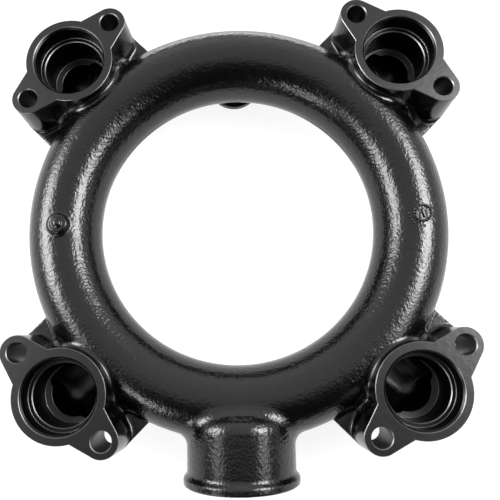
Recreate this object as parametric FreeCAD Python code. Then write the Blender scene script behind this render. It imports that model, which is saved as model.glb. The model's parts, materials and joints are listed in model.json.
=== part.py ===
import FreeCAD, Part
import math
import os

# Discharge manifold, millimetres. One hollow casting: a ring-shaped tube with four flanged ports
# that face +Z and one beaded hose spout that points along -Y.
# The row's origin is the centre of the plane that holds the four flange faces. The ring lies below it.

Vector = FreeCAD.Vector

# Ring tube
ring_radius = 84.0            # centre of the ring to the centre line of its tube
tube_radius = 17.25           # outside of the tube
tube_wall = 4.25

# Ports, spaced evenly around the ring, and their flange faces
port_count = 4
first_port_angle = 45.0       # degrees from +X to the first port
port_offset = 26.5            # centre line of the tube to a port's axis, outwards
flange_height = 21.6          # flange faces above the middle plane of the ring
port_radius = 20.7            # round outside of a port at its flange face
draft_angle = 2.0             # degrees, taper of the cast sides of a port

# Machined steps of a port's bore
seat_radius = 16.4            # wide first step, where a seal and a spigot sit
seat_depth = 8.1
seat_chamfer = 1.0
bore_radius = 14.3            # second step
bore_depth = 23.0
bore_chamfer = 0.6
pocket_radius = 11.0          # cast pocket below the machined floor, with a round end
pocket_wall = 4.25            # metal below the pocket
cup_edge_radius = 9.0         # rounded lower edge of a port's outside

# Oval passage from the channel of the ring into a port
passage_half_width = 13.2
passage_half_height = 11.8
passage_reach = 5.5           # how far the passage runs past the port's axis
passage_round = 3.5

# Bolt bosses, two on each port, and the webs that tie them to the ring
bolt_half_spacing = 26.8      # port's axis to a bolt hole, around the ring
boss_radius = 7.6             # at the flange face
bolt_hole_radius = 4.5
lobe_angle = 16.0             # degrees, how fast a lobe widens towards the port
boss_rear = 1.7               # back of the bosses and webs below the middle plane of the ring
web_thickness = 3.8

# Hose spout
spout_reach = 17.85           # end of the spout beyond the outside of the ring
spout_radius = 24.8           # outside of the neck
spout_wall = 4.0
spout_setback = 4.1           # centre line of the tube to the inner end of the spout's outside
spout_dome_radius = 6.8       # rounding of that inner end
spout_blend_radius = 6.0      # fillet between the spout and the ring
bead_height = 1.7             # bead above the neck
bead_round = 2.0              # crown of the bead
bead_flare = 3.0              # hollow between the bead and the neck
bead_land = 1.4               # straight side of the bead
rim_round = 1.0
mouth_chamfer = 0.8           # inner edge of the spout's mouth

# Round pad on the back of the ring, opposite the spout
pad_radius = 13.8
pad_setback = 1.0             # centre line of the tube to the pad's centre, inwards
pad_thickness = 3.4
pad_edge_round = 0.5

cut_overrun = 1.0             # how far a cutting shape runs past the surface that it opens

channel_radius = tube_radius - tube_wall
port_circle_radius = ring_radius + port_offset
spout_start = ring_radius + spout_setback
spout_length = ring_radius + tube_radius + spout_reach
bead_radius = spout_radius + bead_height
web_front = web_thickness - boss_rear
bore_floor = flange_height - bore_depth
pocket_floor = bore_floor - pocket_radius
cup_floor = pocket_floor - pocket_wall
draft_slope = math.tan(math.radians(draft_angle))
up = Vector(0, 0, 1)
towards_spout = Vector(0, -1, 0)
origin = Vector(0, 0, 0)


def port_angles():
    """Directions of the ports from the centre of the ring, in degrees."""
    return [first_port_angle + 360.0 * index / port_count for index in range(port_count)]


def drafted(radius, height):
    """Radius of a cast side at a height: it is stated at the flange face and grows downwards."""
    return radius + draft_slope * (flange_height - height)


def lobe_points(height):
    """Where a lobe's straight side leaves the boss circle, and where it meets the round port."""
    angle = math.radians(lobe_angle)
    boss = drafted(boss_radius, height)
    outside = drafted(port_radius, height)
    tangent = Vector(boss * math.cos(angle), bolt_half_spacing + boss * math.sin(angle), height)
    side = bolt_half_spacing * math.cos(angle)
    flat_length_squared = tangent.x ** 2 + tangent.y ** 2
    run = side - math.sqrt(side ** 2 - flat_length_squared + outside ** 2)
    corner = Vector(tangent.x + run * math.sin(angle), tangent.y - run * math.cos(angle), height)
    return tangent, corner


def turned(point, flip_x, flip_y):
    """The same point in another quarter of the port's outline."""
    return Vector(point.x * flip_x, point.y * flip_y, point.z)


def port_outline(height):
    """Outline of a port and its two lobes at one height, as one closed wire."""
    tangent, corner = lobe_points(height)
    outside = drafted(port_radius, height)
    tip = Vector(0, bolt_half_spacing + drafted(boss_radius, height), height)
    edges = []
    for flip in (1, -1):
        start = turned(corner, flip, flip)
        leave = turned(tangent, flip, flip)
        enter = turned(tangent, -flip, flip)
        finish = turned(corner, -flip, flip)
        far_side = Vector(-flip * outside, 0, height)
        edges.append(Part.LineSegment(start, leave).toShape())
        edges.append(Part.Arc(leave, turned(tip, 1, flip), enter).toShape())
        edges.append(Part.LineSegment(enter, finish).toShape())
        edges.append(Part.Arc(finish, far_side, turned(finish, 1, -1)).toShape())
    return Part.Wire(edges)


def revolved(profile, axis_point, axis):
    """Solid of revolution from a closed list of edges."""
    return Part.Face(Part.Wire(profile)).revolve(axis_point, axis, 360)


def cup():
    """Lower outside of a port, below its flange body: a round cup with a rounded edge."""
    top = -boss_rear
    radius = drafted(port_radius, top)
    corner_x = radius - cup_edge_radius
    corner_z = cup_floor + cup_edge_radius
    halfway = cup_edge_radius * math.sqrt(0.5)
    points = [Vector(0, 0, web_front), Vector(radius, 0, web_front), Vector(radius, 0, corner_z),
              Vector(corner_x, 0, cup_floor), Vector(0, 0, cup_floor)]
    arc_middle = Vector(corner_x + halfway, 0, corner_z - halfway)
    profile = [Part.LineSegment(points[0], points[1]).toShape(),
               Part.LineSegment(points[1], points[2]).toShape(),
               Part.Arc(points[2], arc_middle, points[3]).toShape(),
               Part.LineSegment(points[3], points[4]).toShape(),
               Part.LineSegment(points[4], points[0]).toShape()]
    return revolved(profile, origin, up)


def port_body():
    """Outside of one port about its own axis, with +X away from the centre of the ring."""
    flange = Part.makeLoft([port_outline(flange_height), port_outline(-boss_rear)], True, True)
    half_width = bolt_half_spacing + drafted(boss_radius, web_front)
    web = Part.makeBox(port_offset, 2 * half_width, web_thickness,
                       Vector(-port_offset, -half_width, -boss_rear))
    return flange.fuse([cup(), web])


def port_bore():
    """Machined steps of a port's bore, with the chamfers at its mouth and at the second step."""
    seat_floor = flange_height - seat_depth
    over = flange_height + seat_chamfer
    radii_heights = [(0, over), (seat_radius + 2 * seat_chamfer, over),
                     (seat_radius, flange_height - seat_chamfer), (seat_radius, seat_floor),
                     (bore_radius + bore_chamfer, seat_floor),
                     (bore_radius, seat_floor - bore_chamfer), (bore_radius, bore_floor),
                     (0, bore_floor)]
    points = [Vector(radius, 0, height) for radius, height in radii_heights]
    outline = Part.makePolygon(points + [points[0]])
    return Part.Face(outline).revolve(origin, up, 360)


def port_passage():
    """Cast hollow below a port's bore: a round-ended pocket, and the oval way with a round trough along
    its bottom that leads into the ring's channel."""
    pocket_height = flange_height - bore_floor
    pocket = Part.makeCylinder(pocket_radius, pocket_height, Vector(0, 0, bore_floor), up)
    pocket_end = Part.makeSphere(pocket_radius, Vector(0, 0, bore_floor))
    trough = Part.makeCylinder(pocket_radius, port_offset, Vector(-port_offset, 0, bore_floor), Vector(1, 0, 0))
    oval = Part.Ellipse(Vector(-port_offset, passage_half_width, 0),
                        Vector(-port_offset, 0, passage_half_height), Vector(-port_offset, 0, 0))
    section = Part.Face(Part.Wire([oval.toShape()]))
    way = section.extrude(Vector(port_offset + passage_reach, 0, 0))
    far_edge = [edge for edge in way.Edges if edge.BoundBox.XMin > passage_reach - 0.01]
    return pocket.fuse([pocket_end, trough, way.makeFillet(passage_round, far_edge)])


def bolt_hole(side):
    """One plain bolt hole through a boss, from its face to its back."""
    foot = Vector(0, side * bolt_half_spacing, -boss_rear - cut_overrun)
    return Part.makeCylinder(bolt_hole_radius, flange_height + boss_rear + 2 * cut_overrun, foot, up)


def at_port(shape, angle):
    """A copy of a port's shape, moved from its own axis to its place on the ring."""
    placed = shape.copy()
    placed.translate(Vector(port_circle_radius, 0, 0))
    placed.rotate(origin, up, angle)
    return placed


def spout_body():
    """Outside of the spout: a round neck with a domed inner end and a bead at its mouth."""
    rounds = bead_round + bead_flare
    flare_length = math.sqrt(bead_height * (2 * rounds - bead_height))
    crown_end = spout_length - rim_round - bead_land
    neck_end = crown_end - flare_length
    share = bead_round / rounds
    join = Vector(bead_radius - bead_height * share, -(crown_end - flare_length * share), 0)
    turn = math.asin(flare_length / rounds) / 2
    crown_middle = Vector(bead_radius - bead_round * (1 - math.cos(turn)),
                          -(crown_end - bead_round * math.sin(turn)), 0)
    flare_middle = Vector(spout_radius + bead_flare * (1 - math.cos(turn)),
                          -(neck_end + bead_flare * math.sin(turn)), 0)
    half = math.sqrt(0.5)
    dome_centre_x = spout_radius - spout_dome_radius
    dome_centre_y = spout_start + spout_dome_radius
    dome_middle = Vector(dome_centre_x + half * spout_dome_radius,
                         -(dome_centre_y - half * spout_dome_radius), 0)
    rim_middle = Vector(bead_radius - rim_round * (1 - half),
                        -(spout_length - rim_round * (1 - half)), 0)
    start_centre = Vector(0, -spout_start, 0)
    dome_start = Vector(dome_centre_x, -spout_start, 0)
    dome_end = Vector(spout_radius, -dome_centre_y, 0)
    neck_low = Vector(spout_radius, -neck_end, 0)
    crown_top = Vector(bead_radius, -crown_end, 0)
    land_low = Vector(bead_radius, -(spout_length - rim_round), 0)
    rim_low = Vector(bead_radius - rim_round, -spout_length, 0)
    end_centre = Vector(0, -spout_length, 0)
    profile = [Part.LineSegment(start_centre, dome_start).toShape(),
               Part.Arc(dome_start, dome_middle, dome_end).toShape(),
               Part.LineSegment(dome_end, neck_low).toShape(),
               Part.Arc(neck_low, flare_middle, join).toShape(),
               Part.Arc(join, crown_middle, crown_top).toShape(),
               Part.LineSegment(crown_top, land_low).toShape(),
               Part.Arc(land_low, rim_middle, rim_low).toShape(),
               Part.LineSegment(rim_low, end_centre).toShape(),
               Part.LineSegment(end_centre, start_centre).toShape()]
    return revolved(profile, origin, towards_spout)


def spout_bore():
    """Hollow of the spout, one wall inside its outside, open and chamfered at the mouth."""
    inner_start = spout_start + spout_wall
    inner_round = spout_dome_radius - 0.5 * spout_wall
    inner_radius = spout_radius - spout_wall
    length = spout_length - inner_start + cut_overrun
    bore = Part.makeCylinder(inner_radius, length, Vector(0, -inner_start, 0), towards_spout)
    inner_end = [edge for edge in bore.Edges if edge.BoundBox.YMin > -inner_start - 0.01]
    chamfer = Part.makeCone(inner_radius, inner_radius + mouth_chamfer + cut_overrun,
                            mouth_chamfer + cut_overrun,
                            Vector(0, mouth_chamfer - spout_length, 0), towards_spout)
    return bore.makeFillet(inner_round, inner_end).fuse(chamfer)


def rear_pad():
    """Round pad behind the ring, flush with the back of its tube."""
    foot = Vector(0, ring_radius - pad_setback, -tube_radius)
    pad = Part.makeCylinder(pad_radius, pad_thickness, foot, up)
    rims = [edge for edge in pad.Edges if edge.Curve.TypeId == "Part::GeomCircle"]
    return pad.makeFillet(pad_edge_round, rims)


def spout_blend(ring_and_spout):
    """Fillet where the spout grows out of the ring's tube."""
    seam = []
    for edge in ring_and_spout.Edges:
        middle = edge.valueAt(0.5 * (edge.FirstParameter + edge.LastParameter))
        off_axis = math.hypot(middle.x, middle.z)
        around = math.hypot(math.hypot(middle.x, middle.y) - ring_radius, middle.z)
        on_tube = abs(around - tube_radius) < 0.01
        inside_spout = off_axis < spout_radius + 0.01 and middle.y < 0
        if on_tube and inside_spout:
            seam.append(edge)
    return ring_and_spout.makeFillet(spout_blend_radius, seam)


def half_ring(radius, start_angle):
    """Half of a ring-shaped tube. The seam of its surface lies inside the ring, where nothing joins it."""
    section = Part.makeCircle(radius, Vector(ring_radius, 0, 0), Vector(0, 1, 0), 180, 540)
    half = Part.Face(Part.Wire([section])).revolve(origin, up, 180)
    half.rotate(origin, up, start_angle)
    return half


def casting():
    """The whole manifold: every outside joined, then every hollow taken out."""
    spout_side = spout_blend(half_ring(tube_radius, 180).fuse(spout_body()))
    body = port_body()
    bodies = [at_port(body, angle) for angle in port_angles()]
    outside = spout_side.fuse([half_ring(tube_radius, 0), rear_pad()] + bodies)

    passage = port_passage()
    passages = [at_port(passage, angle) for angle in port_angles()]
    channel = half_ring(channel_radius, 180)
    hollow = channel.fuse([half_ring(channel_radius, 0), spout_bore()] + passages)

    machining = port_bore().fuse([bolt_hole(1), bolt_hole(-1)])
    machined = [at_port(machining, angle) for angle in port_angles()]
    shape = outside.cut([hollow] + machined).removeSplitter()
    shape.translate(Vector(0, 0, -flange_height))
    return shape


os.makedirs("parts", exist_ok=True)
manifold = casting()
manifold.exportStep("parts/manifold_casting.step")
print("solids", len(manifold.Solids), "valid", manifold.isValid(), "volume mm3", round(manifold.Volume, 1))
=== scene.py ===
import json
import math
from contextlib import contextmanager
from types import SimpleNamespace

import bpy
import numpy as np
from bpy.props import FloatProperty, PointerProperty
from bpy.types import Operator, Panel, PropertyGroup
from mathutils import Matrix, Vector


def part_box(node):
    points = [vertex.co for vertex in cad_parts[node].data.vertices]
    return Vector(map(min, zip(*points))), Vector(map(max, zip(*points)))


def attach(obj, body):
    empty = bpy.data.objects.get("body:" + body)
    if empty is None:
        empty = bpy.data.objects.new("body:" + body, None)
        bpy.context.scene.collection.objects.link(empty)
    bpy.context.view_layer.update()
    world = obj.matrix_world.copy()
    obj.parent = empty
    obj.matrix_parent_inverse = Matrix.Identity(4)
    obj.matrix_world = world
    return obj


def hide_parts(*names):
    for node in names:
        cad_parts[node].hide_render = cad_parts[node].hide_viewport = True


bl_info = {
    "name": "Discharge manifold",
    "version": (1, 0, 0),
    "blender": (4, 5, 0),
    "location": "View3D > Sidebar > Manifold",
    "description": "Builds a cast ring manifold with four flanged ports and a hose spout, and its studio stage",
    "category": "Add Mesh",
}

NODE = "manifold_casting"
PEBBLE = "pebble"

# Limits of the modelling. Lengths are in metres.
SAME_PLACE = 1e-6  # points nearer than this are one point
OVER = 0.001  # how far a cutter runs past the face that it opens
FAR_AWAY = 1.0  # a distance that no point of the object has
SLOPE_STEP = 2e-5  # step over which a form's direction is worked out
PARALLEL = 0.98  # two forms whose directions agree this much have no corner
SETTLE_ROUNDS = 7  # how often a point is moved towards the cast surface
SPLITS = (1.0, 1.6)  # multiples of the fine turn, one for each round of splitting
SETTLED = 2e-6  # a point this near to it has arrived
ON_SURFACE = 2e-5  # a point this near to it belongs to the cast skin
SAME_WAY = 0.8  # how much a skin face agrees with the cast surface
SHARP_ANGLE = math.radians(32)  # an edge between machined faces is sharp above this
SKIN_SHARP_ANGLE = math.radians(70)  # an edge in the cast skin is sharp above this
SLOPING = (0.3, 0.95)  # upright share of the normal of a chamfer's face

# Places that only the making of the shapes needs.
PORT_ZONE = 0.045  # no part of a port is further from its axis
SPOUT_ZONE = (0.055, 0.05)  # the spout starts further out and is narrower to each side
PROUD = 0.0026  # the cast ports stand this far above their flange faces
FREE_ABOVE = 0.0014  # higher points of a port are cut off later and stay as they are
FACE_CUT = (-0.004, -0.003, 0.0055)  # lower end of what is kept, lower end and top of what is cut
STUB_ROOT = 0.006  # how deep the steps of the stub reach into the ring
STUB_BLANK_ROOT = 0.004  # how deep its blank does
GUSSET_BLOCK = (-0.019, -0.005)  # inner and outer side of the gusset's block from the port's axis
GUSSET_START = 0.010  # inner end of the block, inside the port
GUSSET_SPARE = 0.012  # the block's height above the ridge, before it is cut
GUSSET_ZONE = (-0.018, 0.0005, 0.014, 0.0002)  # around the gusset: inner, past its ridge, start, past its end
OFF_RING = 0.0003  # the gusset's skin stands further off the ring

# The round mark.
DIAL_BUMPS = 16
DIAL_RIM = 0.0007  # plate outside the circle of bumps
DIAL_SINK = 0.0015  # how deep the plate reaches into the ring
SECOND_ROW = 1.62  # radius of the second row against the first circle
SECOND_ROW_ANGLES = range(178, 290, 16)
BAR_ENDS = ((0.0006, -0.0019), (-0.0006, 0.0022))
BAR_WIDTH, BAR_THICKNESS, BAR_EDGE = 0.0010, 0.0014, 0.0002

# Finishes. Greys are multiples of a shade, for red and green and then for blue.
PAINT_GREYS = ((0.7, 0.72), (1.3, 1.32))
MACHINED_GREYS = ((0.75, 0.76), (1.25, 1.27))
BARE_GREYS = ((0.6, 0.62), (1.3, 1.32))
BROAD_PEBBLE = 2.6  # width of the broad dimples against the fine ones
BROAD_SHARE = 0.3  # their share of the texture
PORT_PEBBLE = 0.25  # strength of the texture on the ports
PEBBLE_FROM, PEBBLE_OVER = 0.0006, 0.0030  # how far from a port the texture starts and over what it grows
ROUGHNESS_SPREAD = (-0.03, 0.04)  # how much the paint's roughness wanders
MARKS_SHARE = 0.25  # turning marks against the grain of a machined surface
WEAR_SCALE = 260  # spots of the worn edges in a metre

# The stage. Heights are above the middle of the ring's tube.
SOFTBOXES = (  # name, middle, point it faces, width and height, its radiance and the share of that
    ("softbox_right", (0.355, 0.095, 0.375), (0, 0.03, 0), (0.44, 0.27), "right_light", 1.0),
    ("softbox_left", (-0.40, 0.07, 0.275), (0, 0.03, 0), (0.41, 0.27), "left_light", 1.0),
    ("strip_low_left", (-0.25, -0.32, 0.18), (0, 0, 0), (0.20, 0.16), "low_light", 1.0),
    ("side_card_left", (-0.44, -0.20, 0.40), (0, -0.11, 0), (0.26, 0.24), "side_light", 1.0),
    ("side_card_right", (0.44, -0.20, 0.40), (0, -0.11, 0), (0.26, 0.24), "side_light", 1.2),
    ("card_behind", (0, 0.2, -0.0124), (0, 0, -0.0124), (0.5, 0.026), "rear_light", 1.0),
)
BOX_FADE = (0.10, 0.62)  # a softbox fades between these distances from its middle, as shares of its sides
# Light of the room and of its horizon, from the spout's side at 0 to the far side at 1.
ROOM_LIGHT = ((0.0, 0.02), (0.22, 0.02), (0.3, 0.04), (0.4, 0.15), (0.5, 0.33), (0.8, 0.45), (1.0, 0.6))
HORIZON_LIGHT = ((0.0, 0.35), (0.3, 0.45), (0.7, 0.5), (0.85, 0.2), (1.0, 0.1))
HORIZON_BAND = (0.07, 0.17)  # rise of the directions between which the horizon's light fades
FLOOR_GAP = 0.0002  # floor below the object
FLOOR_COLOUR = (0.2, 0.2, 0.2, 1)
# Painted shadow: the floor's own glow, as mirrors see it, is dimmed under each port.
PAINTED_SHADOW_FADE = (0.034, 0.048)  # the painted shadow under a port fades between these distances from its axis
PAINTED_SHADOW_LEAN = -0.12  # the painted shadow grows towards +Y
PAINTED_SHADOW_REST = 0.05  # light that is left in the painted shadow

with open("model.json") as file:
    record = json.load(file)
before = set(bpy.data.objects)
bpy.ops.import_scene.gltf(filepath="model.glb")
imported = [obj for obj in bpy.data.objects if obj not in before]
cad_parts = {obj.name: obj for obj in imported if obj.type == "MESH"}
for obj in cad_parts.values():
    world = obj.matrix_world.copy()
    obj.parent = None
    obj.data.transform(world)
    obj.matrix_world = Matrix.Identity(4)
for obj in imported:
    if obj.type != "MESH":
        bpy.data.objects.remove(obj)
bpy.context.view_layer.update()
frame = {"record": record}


def length(name, default, description):
    """A length in metres as a Blender property."""
    return FloatProperty(name=name, default=default, description=description, unit="LENGTH", precision=5)


def angle(name, degrees, description):
    """An angle as a Blender property, stated in degrees."""
    return FloatProperty(name=name, default=math.radians(degrees), description=description, unit="ROTATION")


def amount(name, default, description, low=0.0, high=1000.0):
    """A plain number as a Blender property."""
    return FloatProperty(name=name, default=default, description=description, min=low, max=high, precision=4)


class ManifoldShape(PropertyGroup):
    """Sizes of the cast outside and of the machined and cast hollows."""

    ring_radius: length("Ring radius", 0.084, "Centre of the ring to the centre line of its tube")
    tube_radius: length("Tube radius", 0.01725, "Outside of the ring's tube")
    tube_wall: length("Tube wall", 0.00425, "Metal around the channel in the ring")
    port_radius: length("Port radius", 0.0207, "Round outside of a port at its flange face")
    draft: angle("Draft", 2.0, "Taper of the cast sides of a port")
    boss_radius: length("Boss radius", 0.0076, "Round end of a lobe at the flange face")
    lobe_angle: angle("Lobe angle", 16.0, "How fast a lobe widens towards its port")
    boss_rear: length("Boss back", 0.0017, "Back of the bosses and webs below the middle of the ring")
    web_thickness: length("Web thickness", 0.0038, "Web between the bosses and the ring")
    web_edge: length("Web edge", 0.00055, "Rounding of the edges of the webs and bosses")
    cup_depth: length("Cup depth", 0.01665, "Lower end of a port below the middle of the ring")
    cup_edge: length("Cup edge", 0.009, "Rounding of the lower end of a port")
    port_fillet: length("Port fillet", 0.0023, "Fillet around a port and its lobes, on the ring and the webs")
    lobe_fillet: length("Lobe fillet", 0.0008, "Fillet between a port and its lobes")
    ring_fillet: length("Ring fillet", 0.00075, "Fillet between a web and the ring")
    spout_fillet: length("Spout fillet", 0.0060, "Fillet between the spout and the ring")
    spout_neck: length("Spout neck", 0.0248, "Outside radius of the spout's neck")
    spout_start: length("Spout start", 0.0881, "Centre of the ring to the inner end of the spout")
    spout_dome: length("Spout dome", 0.0068, "Rounding of the spout's inner end")
    spout_wall: length("Spout wall", 0.0040, "Metal around the spout's hollow")
    bead_crown: length("Bead crown", 0.0020, "Rounding of the bead")
    bead_flare: length("Bead flare", 0.0030, "Hollow between the bead and the neck")
    bead_land: length("Bead land", 0.0014, "Straight side of the bead")
    rim_round: length("Rim round", 0.0010, "Rounding of the spout's rim")
    mouth_chamfer: length("Mouth chamfer", 0.0008, "Inner edge of the spout's mouth")
    pad_radius: length("Pad radius", 0.0138, "Round pad behind the ring")
    pad_setback: length("Pad setback", 0.0010, "Middle of the pad inwards of the middle of the ring's tube")
    pad_thickness: length("Pad thickness", 0.0034, "Thickness of the pad")
    pad_edge: length("Pad edge", 0.0005, "Rounding of the pad's rim")
    pad_fillet: length("Pad fillet", 0.0010, "Fillet between the pad and the ring")
    stub_reach: length("Stub reach", 0.0822, "Axis of the ring to the middle of the small round stub")
    stub_side: length("Stub offset", -0.0010, "Middle of the stub from the line through the ring's centre")
    stub_radius: length("Stub radius", 0.0047, "Radius of the stub's lower step")
    stub_height: length("Stub height", 0.0020, "Lower step above the top of the ring")
    stub_edge: length("Stub edge", 0.0012, "Rounding of the lower step of the stub")
    stub_knob_edge: length("Stub knob edge", 0.0025, "Rounding of the upper step of the stub")
    stub_knob: length("Stub knob", 0.0027, "Radius of the stub's upper step")
    stub_knob_height: length("Stub knob height", 0.0033, "Upper step above the top of the ring")
    stub_fillet: length("Stub fillet", 0.0018, "Fillet around the stub")
    knob_fillet: length("Knob fillet", 0.0006, "Fillet between the two steps of the stub")
    gusset_end: length("Gusset end", 0.0298, "Where the gusset of the +X +Y port ends, sideways from the port's axis")
    gusset_out: length("Gusset ridge", -0.0094, "Where its ridge leaves the lobe, outwards from the port's axis")
    gusset_side: length("Gusset start", 0.0232, "The same place sideways from the port's axis")
    gusset_top: length("Gusset top", -0.0137, "Height of that place")
    gusset_round: length("Gusset rounding", 0.0006, "Rounding of the gusset's edges")
    gusset_slope: angle("Gusset slope", 15.0, "Fall of the gusset's top towards the ring")
    gusset_fall: angle("Gusset fall", 30.7, "Fall of the gusset's top towards its end")
    gusset_turn: angle("Gusset turn", 2.6, "Turn of the gusset's ridge away from the port")
    face_chamfer: length("Face chamfer", 0.00026, "Bright edge around a flange face")
    seat_depth: length("Seat depth", 0.0081, "Depth of the wide first step of a port")
    seat_chamfer: length("Seat chamfer", 0.0010, "Chamfer at the mouth of a port")
    bore_radius: length("Bore radius", 0.0143, "Second step of a port")
    bore_depth: length("Bore depth", 0.0230, "Floor of the second step below the flange face")
    bore_chamfer: length("Bore chamfer", 0.0004, "Chamfer at the second step")
    corner_round: length("Corner round", 0.0004, "Tool radius left in the machined corners")
    pocket_radius: length("Pocket radius", 0.0110, "Round-ended cast pocket below the bore")
    passage_width: length("Passage half width", 0.0132, "Oval way from the port into the ring")
    passage_height: length("Passage half height", 0.0118, "Oval way from the port into the ring")
    passage_reach: length("Passage reach", 0.0055, "How far the oval way runs past the port's axis")
    passage_round: length("Passage round", 0.0035, "Rounding of the far end of the oval way")
    bolt_chamfer: length("Bolt hole chamfer", 0.0004, "Chamfer at both ends of a bolt hole")
    bare_width: length("Bare edge", 0.00028, "Width of the line along which paint has left the port's mouth")
    dial_reach: length("Dial reach", 0.0847, "Axis of the ring to the middle of the round mark")
    dial_side: length("Dial offset", 0.0002, "Middle of the round mark from the line through the ring's centre")
    dial_radius: length("Dial radius", 0.0037, "Circle of the mark's bumps")
    dial_bump: length("Dial bump", 0.00064, "Radius of a bump")
    dial_plate: length("Dial plate", 0.00012, "Flat plate under the mark above the top of the ring")
    voxel: length("Cast grid", 0.0021, "Size of the widest faces of the cast outside")
    fine_turn: angle("Fine turn", 12.0, "A face whose surface turns by more than this is split")


class ManifoldFinish(PropertyGroup):
    """Paint, cast texture and machined finishes."""

    paint_shade: amount("Paint shade", 0.0009, "How light the black paint is")
    paint_roughness: amount("Paint roughness", 0.19, "Roughness of the gloss paint", high=1.0)
    pebble_size: length("Pebble size", 0.0013, "Width of the dimples of the cast surface under the paint")
    pebble_depth: length("Pebble depth", 0.00026, "Depth of those dimples")
    edge_shade: amount("Bare edge shade", 0.17, "How light the bare machined edges are")
    face_shade: amount("Flange face shade", 0.0015, "How light the flat flange faces are")
    face_roughness: amount("Flange face roughness", 0.3, "Roughness of the flange faces", high=1.0)
    turning_pitch: length("Turning pitch", 0.00045, "Distance between the turning marks in the bores")


class ManifoldStage(PropertyGroup):
    """Camera, lights, floor and surroundings."""

    camera_place_x: length("Camera X", 0.002289, "Where the camera stands")
    camera_place_y: length("Camera Y", -0.059664, "Where the camera stands")
    camera_place_z: length("Camera Z", 0.227918, "Where the camera stands")
    camera_pitch: angle("Camera pitch", -8.93, "Tilt of the camera about its own X")
    camera_roll_y: angle("Camera side tilt", -1.66, "Tilt of the camera about its own Y")
    camera_turn: angle("Camera turn", 1.27, "Turn of the camera about its own Z")
    camera_lens: amount("Lens", 37.5812, "Focal length in millimetres on a 36 mm sensor")
    camera_shift_x: amount("Shift X", 0.0420186, "Sideways shift of the lens", low=-1.0)
    camera_shift_y: amount("Shift Y", 0.0353463, "Upward shift of the lens", low=-1.0)
    right_light: amount("Right softbox", 13.0, "Radiance of the right softbox")
    left_light: amount("Left softbox", 10.5, "Radiance of the left softbox")
    low_light: amount("Lower left strip", 5.0, "Radiance of the lower left strip")
    box_middle: amount("Softbox middle", 1.6, "Brightness of the middle of a softbox against its average")
    box_edge: amount("Softbox edge", 0.15, "Brightness of the edge of a softbox against its average")
    side_light: amount("Side cards", 1.8, "Radiance of the two dim cards beside the spout")
    rear_light: amount("Rear card", 2.6, "Radiance of the low card behind the object")
    room_light: amount("Room light", 2.4, "Brightness of the room and the horizon")
    floor_glow: amount("Floor glow", 0.86, "How much of the floor's white doesn't depend on light")
    floor_size: length("Floor size", 6.0, "Width of the floor")


GROUPS = {"manifold_shape": ManifoldShape, "manifold_finish": ManifoldFinish, "manifold_stage": ManifoldStage}


def shape_settings():
    """The sizes in the scene's properties."""
    return bpy.context.scene.manifold_shape


def finish_settings():
    """The finish values in the scene's properties."""
    return bpy.context.scene.manifold_finish


def stage_settings():
    """The stage values in the scene's properties."""
    return bpy.context.scene.manifold_stage


def mount(name):
    """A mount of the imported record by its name."""
    return next(item for item in frame["record"]["mounts"] if item["name"] == name)


def layout():
    """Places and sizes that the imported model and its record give."""
    ports = mount("port_bores")["dims"]
    bolts = mount("flange_bolts_a")["dims"]
    bead = mount("hose_bead")
    port_x = ports["spacing_x_mm"] / 2000
    bolt_x = bolts["spacing_x_mm"] / 2000
    return SimpleNamespace(
        port_circle=port_x * math.sqrt(2),
        bolt_reach=(bolt_x - port_x) * math.sqrt(2),
        seat_radius=ports["hole_r_mm"] / 1000,
        bolt_radius=bolts["hole_r_mm"] / 1000,
        bead_radius=bead["dims"]["r_mm"] / 1000,
        level=bead["pos_m"][2],
        spout_end=-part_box(NODE)[0].y,
    )


def measures():
    """The sizes in the scene's properties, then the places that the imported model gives."""
    return shape_settings(), layout()


def only(piece):
    """Makes this object the only selected one and the active one."""
    if bpy.context.object is not None and bpy.context.object.mode != "OBJECT":
        bpy.ops.object.mode_set(mode="OBJECT")
    bpy.ops.object.select_all(action="DESELECT")
    piece.select_set(True)
    bpy.context.view_layer.objects.active = piece


def named(name):
    """The object that an operator has just made, under a plain name."""
    piece = bpy.context.object
    piece.name = name
    piece.data.name = name
    return piece


def bake_place(piece):
    """Puts an object's place, turn and scale into its mesh."""
    only(piece)
    bpy.ops.object.transform_apply(location=True, rotation=True, scale=True)
    return piece


@contextmanager
def editing(piece, kind=None, flags=None):
    """Edit mode on one piece. All of it is selected, or only those of its edges or polygons that are flagged."""
    only(piece)
    bpy.ops.object.mode_set(mode="EDIT")
    bpy.ops.mesh.select_all(action="DESELECT" if kind else "SELECT")
    if kind == "polygons":
        bpy.ops.mesh.select_mode(type="FACE")
    if kind:
        bpy.ops.object.mode_set(mode="OBJECT")
        getattr(piece.data, kind).foreach_set("select", flags)
        bpy.ops.object.mode_set(mode="EDIT")
    yield
    bpy.ops.object.mode_set(mode="OBJECT")


def clean(piece):
    """Merges doubled points and turns the faces outwards."""
    with editing(piece):
        bpy.ops.mesh.remove_doubles(threshold=SAME_PLACE)
        bpy.ops.mesh.normals_make_consistent(inside=False)
    return piece


def rounded_rim(piece, axis, place, radius, segments):
    """Rounds the edges that lie at one place along an axis."""
    along = mesh_points(piece)[:, axis]
    on_rim = np.abs(along[read(piece.data.edges, "vertices", 2, int)] - place) < SAME_PLACE
    with editing(piece, "edges", on_rim.all(1)):
        bpy.ops.mesh.bevel(offset=radius, offset_type="OFFSET", segments=segments, affect="EDGES")
    return piece


def modified(piece, kind, **values):
    """Adds a modifier, sets it and applies it."""
    only(piece)
    bpy.ops.object.modifier_add(type=kind)
    modifier = piece.modifiers[-1]
    for key, value in values.items():
        setattr(modifier, key, value)
    bpy.ops.object.modifier_apply(modifier=modifier.name)
    return piece


def combined(piece, other, operation):
    """Joins or cuts a closed mesh with another one, which is used up."""
    before = len(piece.data.polygons)
    modified(piece, "BOOLEAN", operation=operation, solver="MANIFOLD", material_mode="TRANSFER", object=other)
    bpy.data.objects.remove(other)
    if len(piece.data.polygons) in (0, before):
        raise RuntimeError(f"{operation} changed nothing on {piece.name}")
    return piece


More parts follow.
